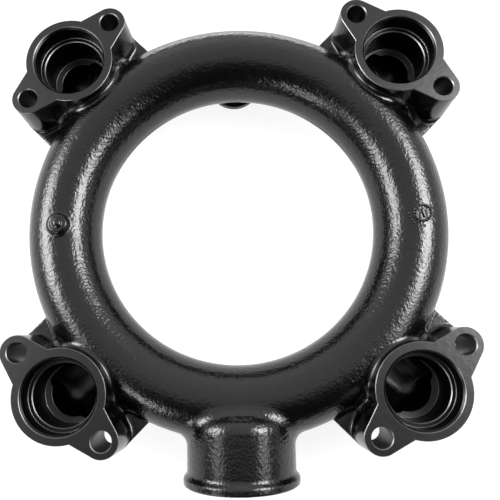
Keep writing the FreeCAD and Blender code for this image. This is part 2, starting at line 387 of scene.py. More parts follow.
def joined(pieces):
    """One object from several that don't overlap."""
    only(pieces[0])
    for piece in pieces:
        piece.select_set(True)
    bpy.ops.object.join()
    return bpy.context.object


def cone(name, low_radius, top_radius, low, top, place=(0.0, 0.0), sides=96):
    """An upright cone or cylinder between two heights."""
    middle = (place[0], place[1], (low + top) / 2)
    if abs(low_radius - top_radius) < 1e-9:
        bpy.ops.mesh.primitive_cylinder_add(vertices=sides, radius=low_radius, depth=top - low, location=middle)
    else:
        bpy.ops.mesh.primitive_cone_add(vertices=sides, radius1=low_radius, radius2=top_radius,
                                        depth=top - low, location=middle)
    return bake_place(named(name))


def spun(name, outline, axis, centre, steps=96):
    """A closed solid spun from a line of points in 3-D that starts and ends on the axis."""
    mesh = bpy.data.meshes.new(name)
    mesh.from_pydata(outline, [(index, index + 1) for index in range(len(outline) - 1)], [])
    piece = bpy.data.objects.new(name, mesh)
    bpy.context.scene.collection.objects.link(piece)
    with editing(piece):
        bpy.ops.mesh.spin(steps=steps, angle=2 * math.pi, center=centre, axis=axis)
    return clean(piece)


def spun_at_port(name, flat, steps, side=0.0):
    """A solid spun about the axis of the +X port, or about a line beside it, from its radii and heights."""
    circle = layout().port_circle
    outline = [(circle + radius, side, height) for radius, height in flat]
    return spun(name, outline, (0, 0, 1), (circle, side, 0), steps)


def spun_at_spout(name, flat):
    """A solid spun about the spout's axis, from distances along it and off it."""
    level = layout().level
    outline = [(0, -along, level + off_axis) for along, off_axis in flat]
    return spun(name, outline, (0, 1, 0), (0, 0, level))


def lying_cylinder(name, far, height, radius, sides):
    """A cylinder from the ring's centre line outwards, at the +X side."""
    near = shape_settings().ring_radius
    bpy.ops.mesh.primitive_cylinder_add(vertices=sides, radius=radius, depth=far - near,
                                        location=((far + near) / 2, 0, height), rotation=(0, math.pi / 2, 0))
    return named(name)


def arc(centre, radius, start, end, steps=8):
    """Points of an arc in a flat outline, angles in degrees."""
    points = []
    for index in range(steps + 1):
        turn = math.radians(start + (end - start) * index / steps)
        points.append((centre[0] + radius * math.cos(turn), centre[1] + radius * math.sin(turn)))
    return points


def block(name, middle, size, turn=(0, 0, 0)):
    """A block with straight sides."""
    bpy.ops.mesh.primitive_cube_add(size=1, location=middle)
    piece = named(name)
    piece.scale = size
    piece.rotation_euler = turn
    return bake_place(piece)


def around_ring(piece):
    """Four copies of a shape made at the +X side, turned to the four ports and joined."""
    copies = []
    for index in range(4):
        only(piece)
        bpy.ops.object.duplicate()
        copy = bpy.context.object
        copy.rotation_euler = (0, 0, math.radians(45 + 90 * index))
        copies.append(bake_place(copy))
    bpy.data.objects.remove(piece)
    return joined(copies)


def spout_outline():
    """Outside of the spout in one half plane: distance along the spout, then distance from its axis."""
    s, place = measures()
    end = place.spout_end
    bead = place.bead_radius
    height = bead - s.spout_neck
    rounds = s.bead_crown + s.bead_flare
    crown = end - s.rim_round - s.bead_land
    flare_length = math.sqrt(height * (2 * rounds - height))
    turn = math.degrees(math.asin(flare_length / rounds))
    points = [(s.spout_start, 0.0)]
    points += arc((s.spout_start + s.spout_dome, s.spout_neck - s.spout_dome), s.spout_dome, 180, 90)
    points += arc((crown - flare_length, s.spout_neck + s.bead_flare), s.bead_flare, 270, 270 + turn)
    points += arc((crown, bead - s.bead_crown), s.bead_crown, 90 + turn, 90)[1:]
    points += arc((end - s.rim_round, bead - s.rim_round), s.rim_round, 90, 0, 5)
    points.append((end, 0.0))
    return points


def sloped(form, points):
    """Distance of points to a form, and the unit direction in which it grows."""
    slope = np.empty_like(points)
    for axis in range(3):
        shift = np.zeros(3)
        shift[axis] = SLOPE_STEP
        slope[:, axis] = form(*(points + shift).T) - form(*(points - shift).T)
    size = np.maximum(np.linalg.norm(slope, axis=1), 1e-12)
    return form(*points.T), slope / size[:, None]


def fillet_join(first, second, radius):
    """Two forms joined, with a ball of the radius rolled along their corner. Each is a distance and a direction."""
    near, near_way = first
    other, other_way = second
    turn = (near_way * other_way).sum(1)
    parallel = np.abs(turn) > PARALLEL
    turn = np.clip(turn, -PARALLEL, PARALLEL)
    rest = 1 - turn ** 2
    near_room = radius - near
    other_room = radius - other
    near_share = (near_room - turn * other_room) / rest
    other_share = (other_room - turn * near_room) / rest
    on_ball = (near_share > 0) & (other_share > 0) & ~parallel
    reach = np.sqrt(np.maximum(near_room ** 2 + other_room ** 2 - 2 * turn * near_room * other_room, 1e-16) / rest)
    takes_other = np.where(parallel | ((near_share <= 0) & (other_share <= 0)), other < near, near_share <= 0)
    value = np.where(on_ball, radius - reach, np.where(takes_other, other, near))
    ball_way = (near_share / reach)[:, None] * near_way + (other_share / reach)[:, None] * other_way
    way = np.where(on_ball[:, None], ball_way, np.where(takes_other[:, None], other_way, near_way))
    return value, way


def rounded_meet(first, second, radius):
    """Distance to the overlap of two forms, with the edge between them rounded."""
    across = np.hypot(np.maximum(radius + first, 0), np.maximum(radius + second, 0))
    return np.minimum(-radius, np.maximum(first, second)) + across


def outline_distance(along, off_axis, outline):
    """Signed distance in a half plane to a closed outline, negative inside. A line on the axis doesn't count."""
    nearest = np.full(len(along), FAR_AWAY)
    inside = np.zeros(len(along), bool)
    for (ax, ay), (bx, by) in zip(outline, outline[1:] + outline[:1]):
        run = (bx - ax) ** 2 + (by - ay) ** 2
        if run < 1e-16:
            continue
        share = np.clip(((along - ax) * (bx - ax) + (off_axis - ay) * (by - ay)) / run, 0, 1)
        gap = np.hypot(along - ax - share * (bx - ax), off_axis - ay - share * (by - ay))
        if ay > 1e-9 or by > 1e-9:
            nearest = np.minimum(nearest, gap)
        if by != ay:
            crosses = (ay > off_axis) != (by > off_axis)
            inside ^= crosses & (along < ax + (off_axis - ay) * (bx - ax) / (by - ay))
    return np.where(inside, -nearest, nearest)


def folded(x, y, port_circle):
    """Outward and sideways distance from the nearest port's axis. All four ports are folded onto one."""
    out = (np.abs(x) + np.abs(y)) / math.sqrt(2) - port_circle
    side = np.abs(np.abs(y) - np.abs(x)) / math.sqrt(2)
    return out, side


class CastOutside:
    """The cast outside as a distance field, with its fillets, in the row frame."""

    def __init__(self):
        self.s = shape_settings()
        self.place = layout()
        self.outline = spout_outline()
        self.slope = math.tan(self.s.draft)

    def ring(self, x, y, z):
        """The ring's tube."""
        return np.hypot(np.hypot(x, y) - self.s.ring_radius, z - self.place.level) - self.s.tube_radius

    def spout(self, x, y, z):
        """The spout with its bead."""
        value = np.full(len(x), FAR_AWAY)
        near = (y < -SPOUT_ZONE[0]) & (np.abs(x) < SPOUT_ZONE[1])
        off_axis = np.hypot(x[near], z[near] - self.place.level)
        value[near] = outline_distance(-y[near], off_axis, self.outline)
        return value

    def disc(self, x, y, z, middle, radius, low, high, edge):
        """A round disc that lies flat, with a rounded rim."""
        side = np.hypot(x - middle[0], y - middle[1]) - radius
        flat = np.abs(z - (low + high) / 2) - (high - low) / 2
        return rounded_meet(side, flat, edge)

    def pad(self, x, y, z):
        """The round pad behind the ring."""
        s = self.s
        low = self.place.level - s.tube_radius
        middle = (0, s.ring_radius - s.pad_setback)
        return self.disc(x, y, z, middle, s.pad_radius, low, low + s.pad_thickness, s.pad_edge)

    def stub_step(self, radius, height, edge):
        """The form of one of the two steps of the small round stub on the ring."""
        top = self.place.level + self.s.tube_radius
        middle = (-self.s.stub_reach, self.s.stub_side)
        return lambda x, y, z: self.disc(x, y, z, middle, radius, top - STUB_ROOT, top + height, edge)

    def body(self, x, y, z):
        """Round body of a port, rounded at its lower end."""
        s = self.s
        out, side = folded(x, y, self.place.port_circle)
        wall = (np.hypot(out, side) - s.port_radius + self.slope * z) * math.cos(s.draft)
        return rounded_meet(wall, self.place.level - s.cup_depth - z, s.cup_edge)

    def lobe(self, x, y, z):
        """Both lobes of a port with their round bosses."""
        s = self.s
        out, side = folded(x, y, self.place.port_circle)
        grown = -self.slope * z
        reach = self.place.bolt_reach
        lean, rise = math.sin(s.lobe_angle), math.cos(s.lobe_angle)
        middle = s.boss_radius + reach * lean + grown
        width = np.abs(out)
        along = rise * side - lean * width
        straight = rise * width + lean * side - middle
        boss = np.hypot(width, side - reach) - s.boss_radius - grown
        wall = np.where(along < 0, np.hypot(width, side) - middle, np.where(along > rise * reach, boss, straight))
        return rounded_meet(wall, self.place.level - s.boss_rear - z, s.web_edge)

    def web(self, x, y, z):
        """Web between the bosses of a port and the ring."""
        s, place = self.s, self.place
        out, side = folded(x, y, place.port_circle)
        half_depth = (place.port_circle - s.ring_radius) / 2
        middle = place.level - s.boss_rear + s.web_thickness / 2
        front = middle + s.web_thickness / 2
        half_width = place.bolt_reach + s.boss_radius - self.slope * front
        across = np.stack((np.abs(out + half_depth) - half_depth, side - half_width,
                           np.abs(z - middle) - s.web_thickness / 2)) + s.web_edge
        outside = np.sqrt((np.maximum(across, 0) ** 2).sum(0))
        return outside + np.minimum(across.max(0), 0) - s.web_edge

    def field(self, points):
        """Distance of points to the cast surface and the unit direction in which it grows."""
        s = self.s
        trunk = fillet_join(sloped(self.ring, points), sloped(self.spout, points), s.spout_fillet)
        trunk = fillet_join(trunk, sloped(self.pad, points), s.pad_fillet)
        low_step = sloped(self.stub_step(s.stub_radius, s.stub_height, s.stub_edge), points)
        knob = sloped(self.stub_step(s.stub_knob, s.stub_knob_height, s.stub_knob_edge), points)
        trunk = fillet_join(trunk, fillet_join(low_step, knob, s.knob_fillet), s.stub_fillet)
        trunk = fillet_join(trunk, sloped(self.web, points), s.ring_fillet)
        head = fillet_join(sloped(self.body, points), sloped(self.lobe, points), s.lobe_fillet)
        return fillet_join(trunk, head, s.port_fillet)

    def free(self, points):
        """Whether points lie near a port and so high that the cut of the flange faces takes them away."""
        out, side = folded(points[:, 0], points[:, 1], self.place.port_circle)
        return (points[:, 2] > FREE_ABOVE) & (np.hypot(out, side) < PORT_ZONE)

    def settle(self, piece):
        """Moves the points of a mesh onto the cast surface, except the free ones."""
        points = mesh_points(piece)
        moving = np.flatnonzero(~self.free(points))
        limit = 0.5 * self.s.voxel
        for _ in range(SETTLE_ROUNDS):
            value, way = self.field(points[moving])
            points[moving] -= np.clip(value, -limit, limit)[:, None] * way
            moving = moving[np.abs(value) > SETTLED]
        piece.data.vertices.foreach_set("co", points.ravel())
        piece.data.update()

    def split(self, piece, turn):
        """Splits the faces over which the surface turns by more than an angle, and settles the new points."""
        points = mesh_points(piece)
        way = self.field(points)[1]
        edges = read(piece.data.edges, "vertices", 2, int)
        turned = (way[edges[:, 0]] * way[edges[:, 1]]).sum(1) < math.cos(turn)
        marked = np.zeros(len(points), bool)
        marked[edges[turned].ravel()] = True
        marked &= ~self.free(points)
        chosen = np.array([marked[list(face.vertices)].sum() > 1 for face in piece.data.polygons])
        with editing(piece, "polygons", chosen):
            bpy.ops.mesh.subdivide(number_cuts=1, ngon=False)
        self.settle(piece)


def read(items, key, width=1, kind=float):
    """One value or vector of every item of a mesh, as an array."""
    values = np.empty(len(items) * width, kind)
    items.foreach_get(key, values)
    return values if width == 1 else values.reshape(-1, width)


def mesh_points(piece):
    """The points of a mesh as rows of x, y and z."""
    return read(piece.data.vertices, "co", 3)


def ring_blank():
    """Outside of the ring's tube."""
    s = shape_settings()
    bpy.ops.mesh.primitive_torus_add(major_radius=s.ring_radius, minor_radius=s.tube_radius, major_segments=240,
                                     minor_segments=64, location=(0, 0, layout().level))
    return bake_place(named("ring"))


def port_blank():
    """Round body of a port at the +X side, standing proud of its flange face."""
    s, place = measures()
    slope = math.tan(s.draft)
    low = place.level - s.cup_depth
    piece = cone("port", s.port_radius - slope * low, s.port_radius - slope * PROUD, low, PROUD,
                 (place.port_circle, 0))
    return rounded_rim(piece, 2, low, s.cup_edge, 8)


def hull_of(pieces, name):
    """The tight convex wrapping of several shapes."""
    piece = joined(pieces)
    piece.name = name
    with editing(piece):
        bpy.ops.mesh.convex_hull()
    return clean(piece)


def lobes(name, low, top, slope, grow):
    """Both lobes of a port as one wrapped shape, at the +X side. Its sides widen downwards by slope."""
    s, place = measures()
    reach = place.bolt_reach
    middle = s.boss_radius + reach * math.sin(s.lobe_angle)
    return hull_of([cone(name, radius + grow - slope * low, radius + grow - slope * top, low, top,
                         (place.port_circle, side))
                    for radius, side in ((s.boss_radius, reach), (s.boss_radius, -reach), (middle, 0.0))], name)


def web_blank():
    """Web from the ring's centre line to a port's axis, at the +X side."""
    s, place = measures()
    offset = place.port_circle - s.ring_radius
    low = place.level - s.boss_rear
    half_width = place.bolt_reach + s.boss_radius - math.tan(s.draft) * (low + s.web_thickness)
    return block("web", (s.ring_radius + offset / 2, 0, low + s.web_thickness / 2),
                 (offset, 2 * half_width, s.web_thickness))


def spout_blank():
    """Outside of the spout, spun about its axis."""
    return spun_at_spout("spout", spout_outline())


def pad_blank():
    """Round pad behind the ring."""
    s = shape_settings()
    low = layout().level - s.tube_radius
    return cone("pad", s.pad_radius, s.pad_radius, low, low + s.pad_thickness, (0, s.ring_radius - s.pad_setback))


def stub_blank():
    """Small round stub on the ring."""
    s = shape_settings()
    top = layout().level + s.tube_radius
    return cone("stub", s.stub_radius, s.stub_knob, top - STUB_BLANK_ROOT, top + s.stub_knob_height,
                (-s.stub_reach, s.stub_side))


def turned(piece, degrees):
    """Turns a mesh about the ring's axis."""
    piece.rotation_euler = (0, 0, math.radians(degrees))
    return bake_place(piece)


def cast_outside():
    """The whole cast outside in one skin with its fillets. The ports stand proud of their flange faces."""
    s, place = measures()
    piece = ring_blank()
    for form in (spout_blank, pad_blank, stub_blank):
        combined(piece, form(), "UNION")
    head = port_blank()
    combined(head, lobes("lobes", place.level - s.boss_rear, PROUD, math.tan(s.draft), 0.0), "UNION")
    combined(head, web_blank(), "UNION")
    combined(piece, around_ring(head), "UNION")
    turned(piece, 45)
    modified(piece, "REMESH", mode="VOXEL", voxel_size=s.voxel, adaptivity=0.0)
    turned(piece, -45)
    form = CastOutside()
    form.settle(piece)
    for share in SPLITS:
        form.split(piece, share * s.fine_turn)
    piece.name = "manifold"
    piece.data.name = "manifold"
    return piece


def gusset():
    """Sloping fill between the ring and the lower lobe of the port at +X +Y."""
    s, place = measures()
    inner, outer = (place.port_circle + edge for edge in GUSSET_BLOCK)
    low, high = place.level, s.gusset_top + GUSSET_SPARE
    ridge = (place.port_circle + s.gusset_out, -s.gusset_side, s.gusset_top)
    piece = block("gusset", ((inner + outer) / 2, -(GUSSET_START + s.gusset_end) / 2, (low + high) / 2),
                  (outer - inner, s.gusset_end - GUSSET_START, high - low))
    with editing(piece):
        for facing in ((-math.tan(s.gusset_slope), -math.tan(s.gusset_fall), 1.0),
                       (math.cos(s.gusset_turn), -math.sin(s.gusset_turn), 0.0)):
            bpy.ops.mesh.bisect(plane_co=ridge, plane_no=facing, clear_outer=True, use_fill=True)
            bpy.ops.mesh.select_all(action="SELECT")
        bpy.ops.mesh.bevel(offset=s.gusset_round, segments=5, affect="EDGES")
    bpy.ops.object.shade_smooth()
    return turned(clean(piece), 45)


def bump_at(place):
    """A small round bump of the mark."""
    bpy.ops.mesh.primitive_uv_sphere_add(segments=12, ring_count=8, radius=shape_settings().dial_bump, location=place)
    return bake_place(named("bump"))


def round_mark():
    """A plain round cast mark: a flat plate with a circle of small bumps, part of a second one and a bar."""
    s = shape_settings()
    level = layout().level
    top = level + s.tube_radius + s.dial_plate
    middle = Vector((s.dial_reach, s.dial_side))
    rim = s.dial_radius + DIAL_RIM
    plate = cone("plate", rim, rim, top - DIAL_SINK, top, middle, 48)
    for index in range(DIAL_BUMPS):
        turn = 2 * math.pi * index / DIAL_BUMPS
        spot = middle + s.dial_radius * Vector((math.cos(turn), math.sin(turn)))
        combined(plate, bump_at((spot.x, spot.y, top + 0.5 * s.dial_bump)), "UNION")
    pieces = [plate]
    for degrees in SECOND_ROW_ANGLES:
        turn = math.radians(degrees)
        spot = middle + SECOND_ROW * s.dial_radius * Vector((math.cos(turn), math.sin(turn)))
        off = math.hypot(spot.x, spot.y) - s.ring_radius
        pieces.append(bump_at((spot.x, spot.y, level + math.sqrt(s.tube_radius ** 2 - off * off))))
    low, high = (Vector((middle.x + x, middle.y + y, top)) for x, y in BAR_ENDS)
    turn = (high - low).to_track_quat("Y", "Z").to_euler()
    bar = block("bar", (low + high) / 2, (BAR_WIDTH, (high - low).length, BAR_THICKNESS), turn)
    with editing(bar):
        bpy.ops.mesh.bevel(offset=BAR_EDGE, segments=2, affect="EDGES")
    combined(plate, bar, "UNION")
    return joined(pieces)


def face_cutter(material, edge):
    """What is cut away above the flange faces. It leaves flat faces with a fine bright edge."""
    s, place = measures()
    at_port = (place.port_circle, 0)
    side = math.tan(s.draft) * s.face_chamfer - s.face_chamfer
    bottom, low, top = FACE_CUT
    cutter = cone("face", PORT_ZONE, PORT_ZONE, low, top, at_port)
    kept = cone("kept", s.port_radius + side - bottom, s.port_radius + side, bottom, 0.0, at_port, 192)
    combined(kept, lobes("kept_lobes", bottom, 0.0, 1.0, side), "UNION")
    combined(cutter, kept, "DIFFERENCE")
    return around_ring(painted(cutter, (material, edge), sloping))


def port_cutter(wall, edge, floor):
    """Machined steps of a port. Its mouth, its second step and the rim of its floor have bare edges."""
    s, place = measures()
    seat = place.seat_radius
    corner = s.corner_round
    mouth = seat + s.seat_chamfer
    flat = [(0, OVER), (mouth + OVER, OVER), (mouth - s.bare_width, -s.bare_width), (seat, -s.seat_chamfer)]
    flat += arc((seat - corner, corner - s.seat_depth), corner, 0, -90, 3)
    flat += [(s.bore_radius + s.bore_chamfer, -s.seat_depth), (s.bore_radius, -s.seat_depth - s.bore_chamfer)]
    flat += arc((s.bore_radius - corner, corner - s.bore_depth), corner, 0, -90, 3)
    flat += [(s.pocket_radius + s.bare_width, -s.bore_depth), (s.pocket_radius, -s.bore_depth - s.bare_width),
             (0, -s.bore_depth - s.bare_width)]
    middle = Vector((place.port_circle, 0))

    def pick(centre, normal):
        off_axis = (centre.xy - middle).length
        if sloping(centre, normal):
            return off_axis > mouth - s.bare_width or centre.z < corner - s.seat_depth
        # the flat rim of a bore's floor takes the third material, whose lighter grey is painted light
        return 2 * (centre.z < s.bare_width / 2 - s.bore_depth and off_axis > s.pocket_radius)

    return around_ring(painted(spun_at_port("port_bore", flat, 128), (wall, edge, floor), pick))


def bolt_cutter(material, edge):
    """Both bolt holes of a port with their chamfers."""
    s, place = measures()
    hole = place.bolt_radius
    bottom = place.level - s.boss_rear
    wide = hole + s.bolt_chamfer + OVER
    flat = [(0, OVER), (wide, OVER), (hole, -s.bolt_chamfer), (hole, bottom + s.bolt_chamfer),
            (wide, bottom - OVER), (0, bottom - OVER)]
    return around_ring(joined([
        painted(spun_at_port("bolt_hole", flat, 48, side), (material, edge), sloping)
        for side in (place.bolt_reach, -place.bolt_reach)]))


def pocket_cutter():
    """Round-ended pocket below a port's bore."""
    s = shape_settings()
    floor = -s.bore_depth
    flat = [(0, floor + OVER), (s.pocket_radius, floor + OVER)]
    return around_ring(spun_at_port("pocket", flat + arc((0, floor), s.pocket_radius, 0, -90, 14), 72))


def passage_cutter():
    """Oval way from a port into the ring's channel."""
    s, place = measures()
    far = place.port_circle + s.passage_reach
    piece = lying_cylinder("passage", far, place.level, 1, 96)
    piece.scale = (s.passage_height, s.passage_width, 1)
    bake_place(piece)
    return around_ring(rounded_rim(piece, 0, far, s.passage_round, 5))


def trough_cutter():
    """Round trough that leads from below a port's bore down into the passage."""
    s = shape_settings()
    return around_ring(bake_place(lying_cylinder("trough", layout().port_circle, -s.bore_depth, s.pocket_radius, 72)))


def channel_cutter():
    """Hollow of the ring's tube."""
    s = shape_settings()
    bpy.ops.mesh.primitive_torus_add(major_radius=s.ring_radius, minor_radius=s.tube_radius - s.tube_wall,
                                     major_segments=128, minor_segments=40, location=(0, 0, layout().level))
    return bake_place(named("channel"))


def spout_cutter():
    """Hollow of the spout."""
    s, place = measures()
    end = place.spout_end
    radius = s.spout_neck - s.spout_wall
    start = s.spout_start + s.spout_wall
    inner = s.spout_dome - s.spout_wall / 2
    flat = [(start, 0.0)]
    flat += arc((start + inner, radius - inner), inner, 180, 90, 6)
    flat += [(end - s.mouth_chamfer, radius), (end + OVER, radius + s.mouth_chamfer + OVER), (end + OVER, 0.0)]
    return spun_at_spout("spout_bore", flat)


def painted(cutter, materials, pick=None):
    """Gives a cutter the materials of the surface that it leaves.

    pick gets the middle and the normal of a face and returns the number of its material."""
    cutter.data.materials.clear()
    for material in materials:
        cutter.data.materials.append(material)
    if pick is not None:
        for face in cutter.data.polygons:
            face.material_index = int(pick(face.center, face.normal))
    return cutter


def sloping(middle, normal):
    """Whether a face of a cutter belongs to a chamfer."""
    return SLOPING[0] < abs(normal.z) < SLOPING[1]


def feed(tree, node, inputs):
    """Sets inputs of a shader node, each to a plain value or to the output that is linked to it."""
    for key, value in inputs.items():
        if isinstance(value, bpy.types.NodeSocket):
            tree.links.new(value, node.inputs[key])
        else:
            node.inputs[key].default_value = value


def node_of(tree, kind, inputs=None, **fields):
    """Adds a shader node, sets its fields and feeds its inputs."""
    node = tree.nodes.new(kind)
    for key, value in fields.items():
        setattr(node, key, value)
    feed(tree, node, inputs or {})
    return node


def worked_out(tree, operation, *values):
    """Output of a math node."""
    return node_of(tree, "ShaderNodeMath", dict(enumerate(values)), operation=operation).outputs[0]


def ramp(tree, value, start, end, low=0.0, high=1.0, kind="LINEAR"):
    """Output that runs from low to high while a value runs from start to end."""
    return node_of(tree, "ShaderNodeMapRange", {"Value": value, "From Min": start, "From Max": end, "To Min": low,
                                                "To Max": high}, interpolation_type=kind).outputs["Result"]


def mixed(tree, share, first, second):
    """Output between two values."""
    return node_of(tree, "ShaderNodeMix", {0: share, 2: first, 3: second}, data_type="FLOAT").outputs[0]


def noise(tree, place, scale, detail):
    """Cloudy pattern in the object's own space."""
    return node_of(tree, "ShaderNodeTexNoise", {"Vector": place, "Scale": scale, "Detail": detail}).outputs["Fac"]


def wandering_grey(tree, pattern, shade, low, high):
    """Colour between two multiples of a shade, each given for red and green and for blue."""
    dark, light = ((shade * grey, shade * grey, shade * blue, 1) for grey, blue in (low, high))
    return node_of(tree, "ShaderNodeMix", {0: pattern, 6: dark, 7: light}, data_type="RGBA").outputs[2]


def new_material(name):
    """A material with a plain surface shader. Returns it with its tree, its shader and the object coordinates."""
    material = bpy.data.materials.new(name)
    material.use_nodes = True
    tree = material.node_tree
    return material, tree, tree.nodes["Principled BSDF"], node_of(tree, "ShaderNodeTexCoord").outputs["Object"]


def cast_paint():
    """Gloss black paint over a cast surface, pebbled on the ring and spout and smoother on the ports."""
    f = finish_settings()
    material, tree, shader, place = new_material("cast_black_paint")
    fine = noise(tree, place, 1 / f.pebble_size, 1.2)
    broad = noise(tree, place, 1 / (f.pebble_size * BROAD_PEBBLE), 0.0)
    pebbled = node_of(tree, "ShaderNodeAttribute", attribute_name=PEBBLE).outputs["Fac"]
    bump = node_of(tree, "ShaderNodeBump", {"Strength": pebbled, "Distance": f.pebble_depth,
                                            "Height": mixed(tree, BROAD_SHARE, fine, broad)})
    feed(tree, shader, {
        "Normal": bump.outputs["Normal"],
        "Roughness": ramp(tree, broad, 0.0, 1.0, *(f.paint_roughness + part for part in ROUGHNESS_SPREAD)),
        "Base Color": wandering_grey(tree, broad, f.paint_shade, *PAINT_GREYS),
    })
    return material


def machined(name, shade, roughness, pitch, gloss=0.5, grain_size=0.0011, grain_depth=0.00003):
    """Dark machined surface with fine turning marks along the depth of a bore."""
    material, tree, shader, place = new_material(name)
    depth = node_of(tree, "ShaderNodeSeparateXYZ", {"Vector": place}).outputs["Z"]
    marks = worked_out(tree, "SINE", worked_out(tree, "MULTIPLY", depth, 2 * math.pi / pitch))
    grain = noise(tree, place, 1 / grain_size, 3.0)
    bump = node_of(tree, "ShaderNodeBump", {"Strength": 0.6, "Distance": grain_depth,
                                            "Height": worked_out(tree, "MULTIPLY_ADD", marks, MARKS_SHARE, grain)})
    feed(tree, shader, {
        "Normal": bump.outputs["Normal"],
        "Roughness": roughness,
        "Specular IOR Level": gloss,
        "Base Color": wandering_grey(tree, grain, shade, *MACHINED_GREYS),
    })
    return material


def bare_edge():
    """Bare metal along the machined edges, dulled by a thin rest of paint."""
    material, tree, shader, place = new_material("bare_edge")
    wear = noise(tree, place, WEAR_SCALE, 2.0)
    feed(tree, shader, {
        "Metallic": 1.0,
        "Roughness": 0.38,
        "Base Color": wandering_grey(tree, wear, finish_settings().edge_shade, *BARE_GREYS),
    })
    return material


def set_sharp_edges(piece):
    """Smooth faces with sharp machined edges. The cast skin stays smooth over its small roundings."""
    only(piece)
    bpy.ops.object.shade_smooth_by_angle(angle=SHARP_ANGLE)
    mesh = piece.data
    faces_of = {}
    for face in mesh.polygons:
        for key in face.edge_keys:
            faces_of.setdefault(key, []).append(face)
    for edge in mesh.edges:
        pair = faces_of[edge.key]
        if edge.use_edge_sharp and len(pair) == 2 and pair[0].material_index == pair[1].material_index == 0:
            edge.use_edge_sharp = pair[0].normal.angle(pair[1].normal) > SKIN_SHARP_ANGLE


def smooth_skin(piece):
    """Gives the cast skin the exact directions of the cast surface, so that its reflections run evenly."""
    mesh = piece.data
    value, way = CastOutside().field(mesh_points(piece))
    corners = read(mesh.loops, "vertex_index", kind=int)
    sides = read(mesh.polygons, "loop_total", kind=int)
    on_skin = read(mesh.polygons, "material_index", kind=int) == 0
    flat = np.repeat(read(mesh.polygons, "normal", 3), sides, axis=0)
    size = np.linalg.norm(way, axis=1)
    near = (np.abs(value) < ON_SURFACE) & (size > 0.5)
    way /= np.maximum(size, 1e-9)[:, None]
    along_face = (way[corners] * flat).sum(1) > SAME_WAY
    chosen = np.repeat(on_skin, sides) & near[corners] & along_face
    mesh.normals_split_custom_set(np.where(chosen[:, None], way[corners], 0.0))


def mark_pebbles(piece):
    """Writes how strongly each point of the skin is pebbled: fully on the ring and spout, little on the ports."""
    s = shape_settings()
    form = CastOutside()
    points = mesh_points(piece)
    port = np.minimum(np.minimum(form.body(*points.T), form.lobe(*points.T)), form.web(*points.T))
    out = (points[:, 0] + points[:, 1]) / math.sqrt(2) - form.place.port_circle
    side = (points[:, 0] - points[:, 1]) / math.sqrt(2)
    inner, outer, start, end = GUSSET_ZONE
    on_gusset = (out > inner) & (out < s.gusset_out + outer) & (side > start) & (side < s.gusset_end + end)
    port[on_gusset & (form.ring(*points.T) > OFF_RING)] = 0.0
    share = np.clip((port - PEBBLE_FROM) / PEBBLE_OVER, 0, 1)
    values = PORT_PEBBLE + (1 - PORT_PEBBLE) * share * share * (3 - 2 * share)
    attribute = piece.data.attributes.new(PEBBLE, "FLOAT", "POINT")
    attribute.data.foreach_set("value", values)


def build_casting():
    """Makes the casting, cuts its hollows and gives each surface its finish."""
    f = finish_settings()
    paint = cast_paint()
    face = machined("flange_face", shade=f.face_shade, roughness=f.face_roughness, pitch=0.001,
                    grain_size=0.0030, grain_depth=0.00012)
    bore = machined("machined_bore", shade=0.001, roughness=0.25, pitch=f.turning_pitch, gloss=0.25)
    # painted light: the bore floors get a much lighter grey than the other machined faces, standing in for the
    # softbox's light on them
    floor = machined("bore_floor", shade=0.018, roughness=0.40, pitch=0.001)
    hole = machined("bolt_hole_wall", shade=0.002, roughness=0.35, pitch=0.002, gloss=0.6)
    edge = bare_edge()
    inside = machined("cast_inside", shade=0.0008, roughness=0.24, pitch=0.004, gloss=0.42)
    piece = painted(cast_outside(), (paint,))
    for raised in (round_mark, gusset):
        combined(piece, painted(raised(), (paint,)), "UNION")
    combined(piece, face_cutter(face, edge), "DIFFERENCE")
    combined(piece, port_cutter(bore, edge, floor), "DIFFERENCE")
    combined(piece, bolt_cutter(hole, edge), "DIFFERENCE")
    for hollow in (pocket_cutter, passage_cutter, trough_cutter, channel_cutter, spout_cutter):
        combined(piece, painted(hollow(), (inside,)), "DIFFERENCE")
    set_sharp_edges(piece)
    smooth_skin(piece)
    mark_pebbles(piece)
    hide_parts(NODE)
    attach(piece, "root")
    return piece


def area_light(name, place, aim, size, radiance):
    """A softbox that shines with an average radiance towards a point."""
    width, height = size
    bpy.ops.object.light_add(type="AREA", location=place)
    lamp = bpy.context.object
    lamp.name = name
    lamp.data.shape = "RECTANGLE"
    lamp.data.size = width
    lamp.data.size_y = height
    lamp.data.energy = radiance * math.pi * width * height
    lamp.rotation_euler = (Vector(aim) - Vector(place)).to_track_quat("-Z", "Y").to_euler()
    soften(lamp.data)


def soften(lamp):
    """Lets a softbox fade from its middle to its edges, as cloth in front of a lamp does."""
    t = stage_settings()
    lamp.use_nodes = True
    tree = lamp.node_tree
    tree.nodes.clear()
    place = node_of(tree, "ShaderNodeNewGeometry").outputs["Parametric"]
    off_middle = node_of(tree, "ShaderNodeVectorMath", {0: place, 1: (0.5, 0.5, 0)}, operation="DISTANCE")
    strength = ramp(tree, off_middle.outputs["Value"], *BOX_FADE, t.box_middle, t.box_edge, "SMOOTHSTEP")
    glow = node_of(tree, "ShaderNodeEmission", {"Strength": strength}).outputs[0]
    node_of(tree, "ShaderNodeOutputLight", {"Surface": glow})


def painted_port_shadow(tree):
    """Painted shadow: a value that is lower on the floor right under each port, where the object keeps the room's
    light away.
    """
    port = layout().port_circle / math.sqrt(2)
    place = node_of(tree, "ShaderNodeTexCoord").outputs["Object"]
    fold = node_of(tree, "ShaderNodeVectorMath", {0: place}, operation="ABSOLUTE").outputs[0]
    gap = node_of(tree, "ShaderNodeVectorMath", {0: fold, 1: (port, port, -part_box(NODE)[0].z)}, operation="DISTANCE")
    along = node_of(tree, "ShaderNodeSeparateXYZ", {"Vector": place}).outputs["Y"]
    wider = worked_out(tree, "MULTIPLY_ADD", along, PAINTED_SHADOW_LEAN, gap.outputs["Value"])
    return ramp(tree, wider, *PAINTED_SHADOW_FADE, PAINTED_SHADOW_REST, kind="SMOOTHSTEP")


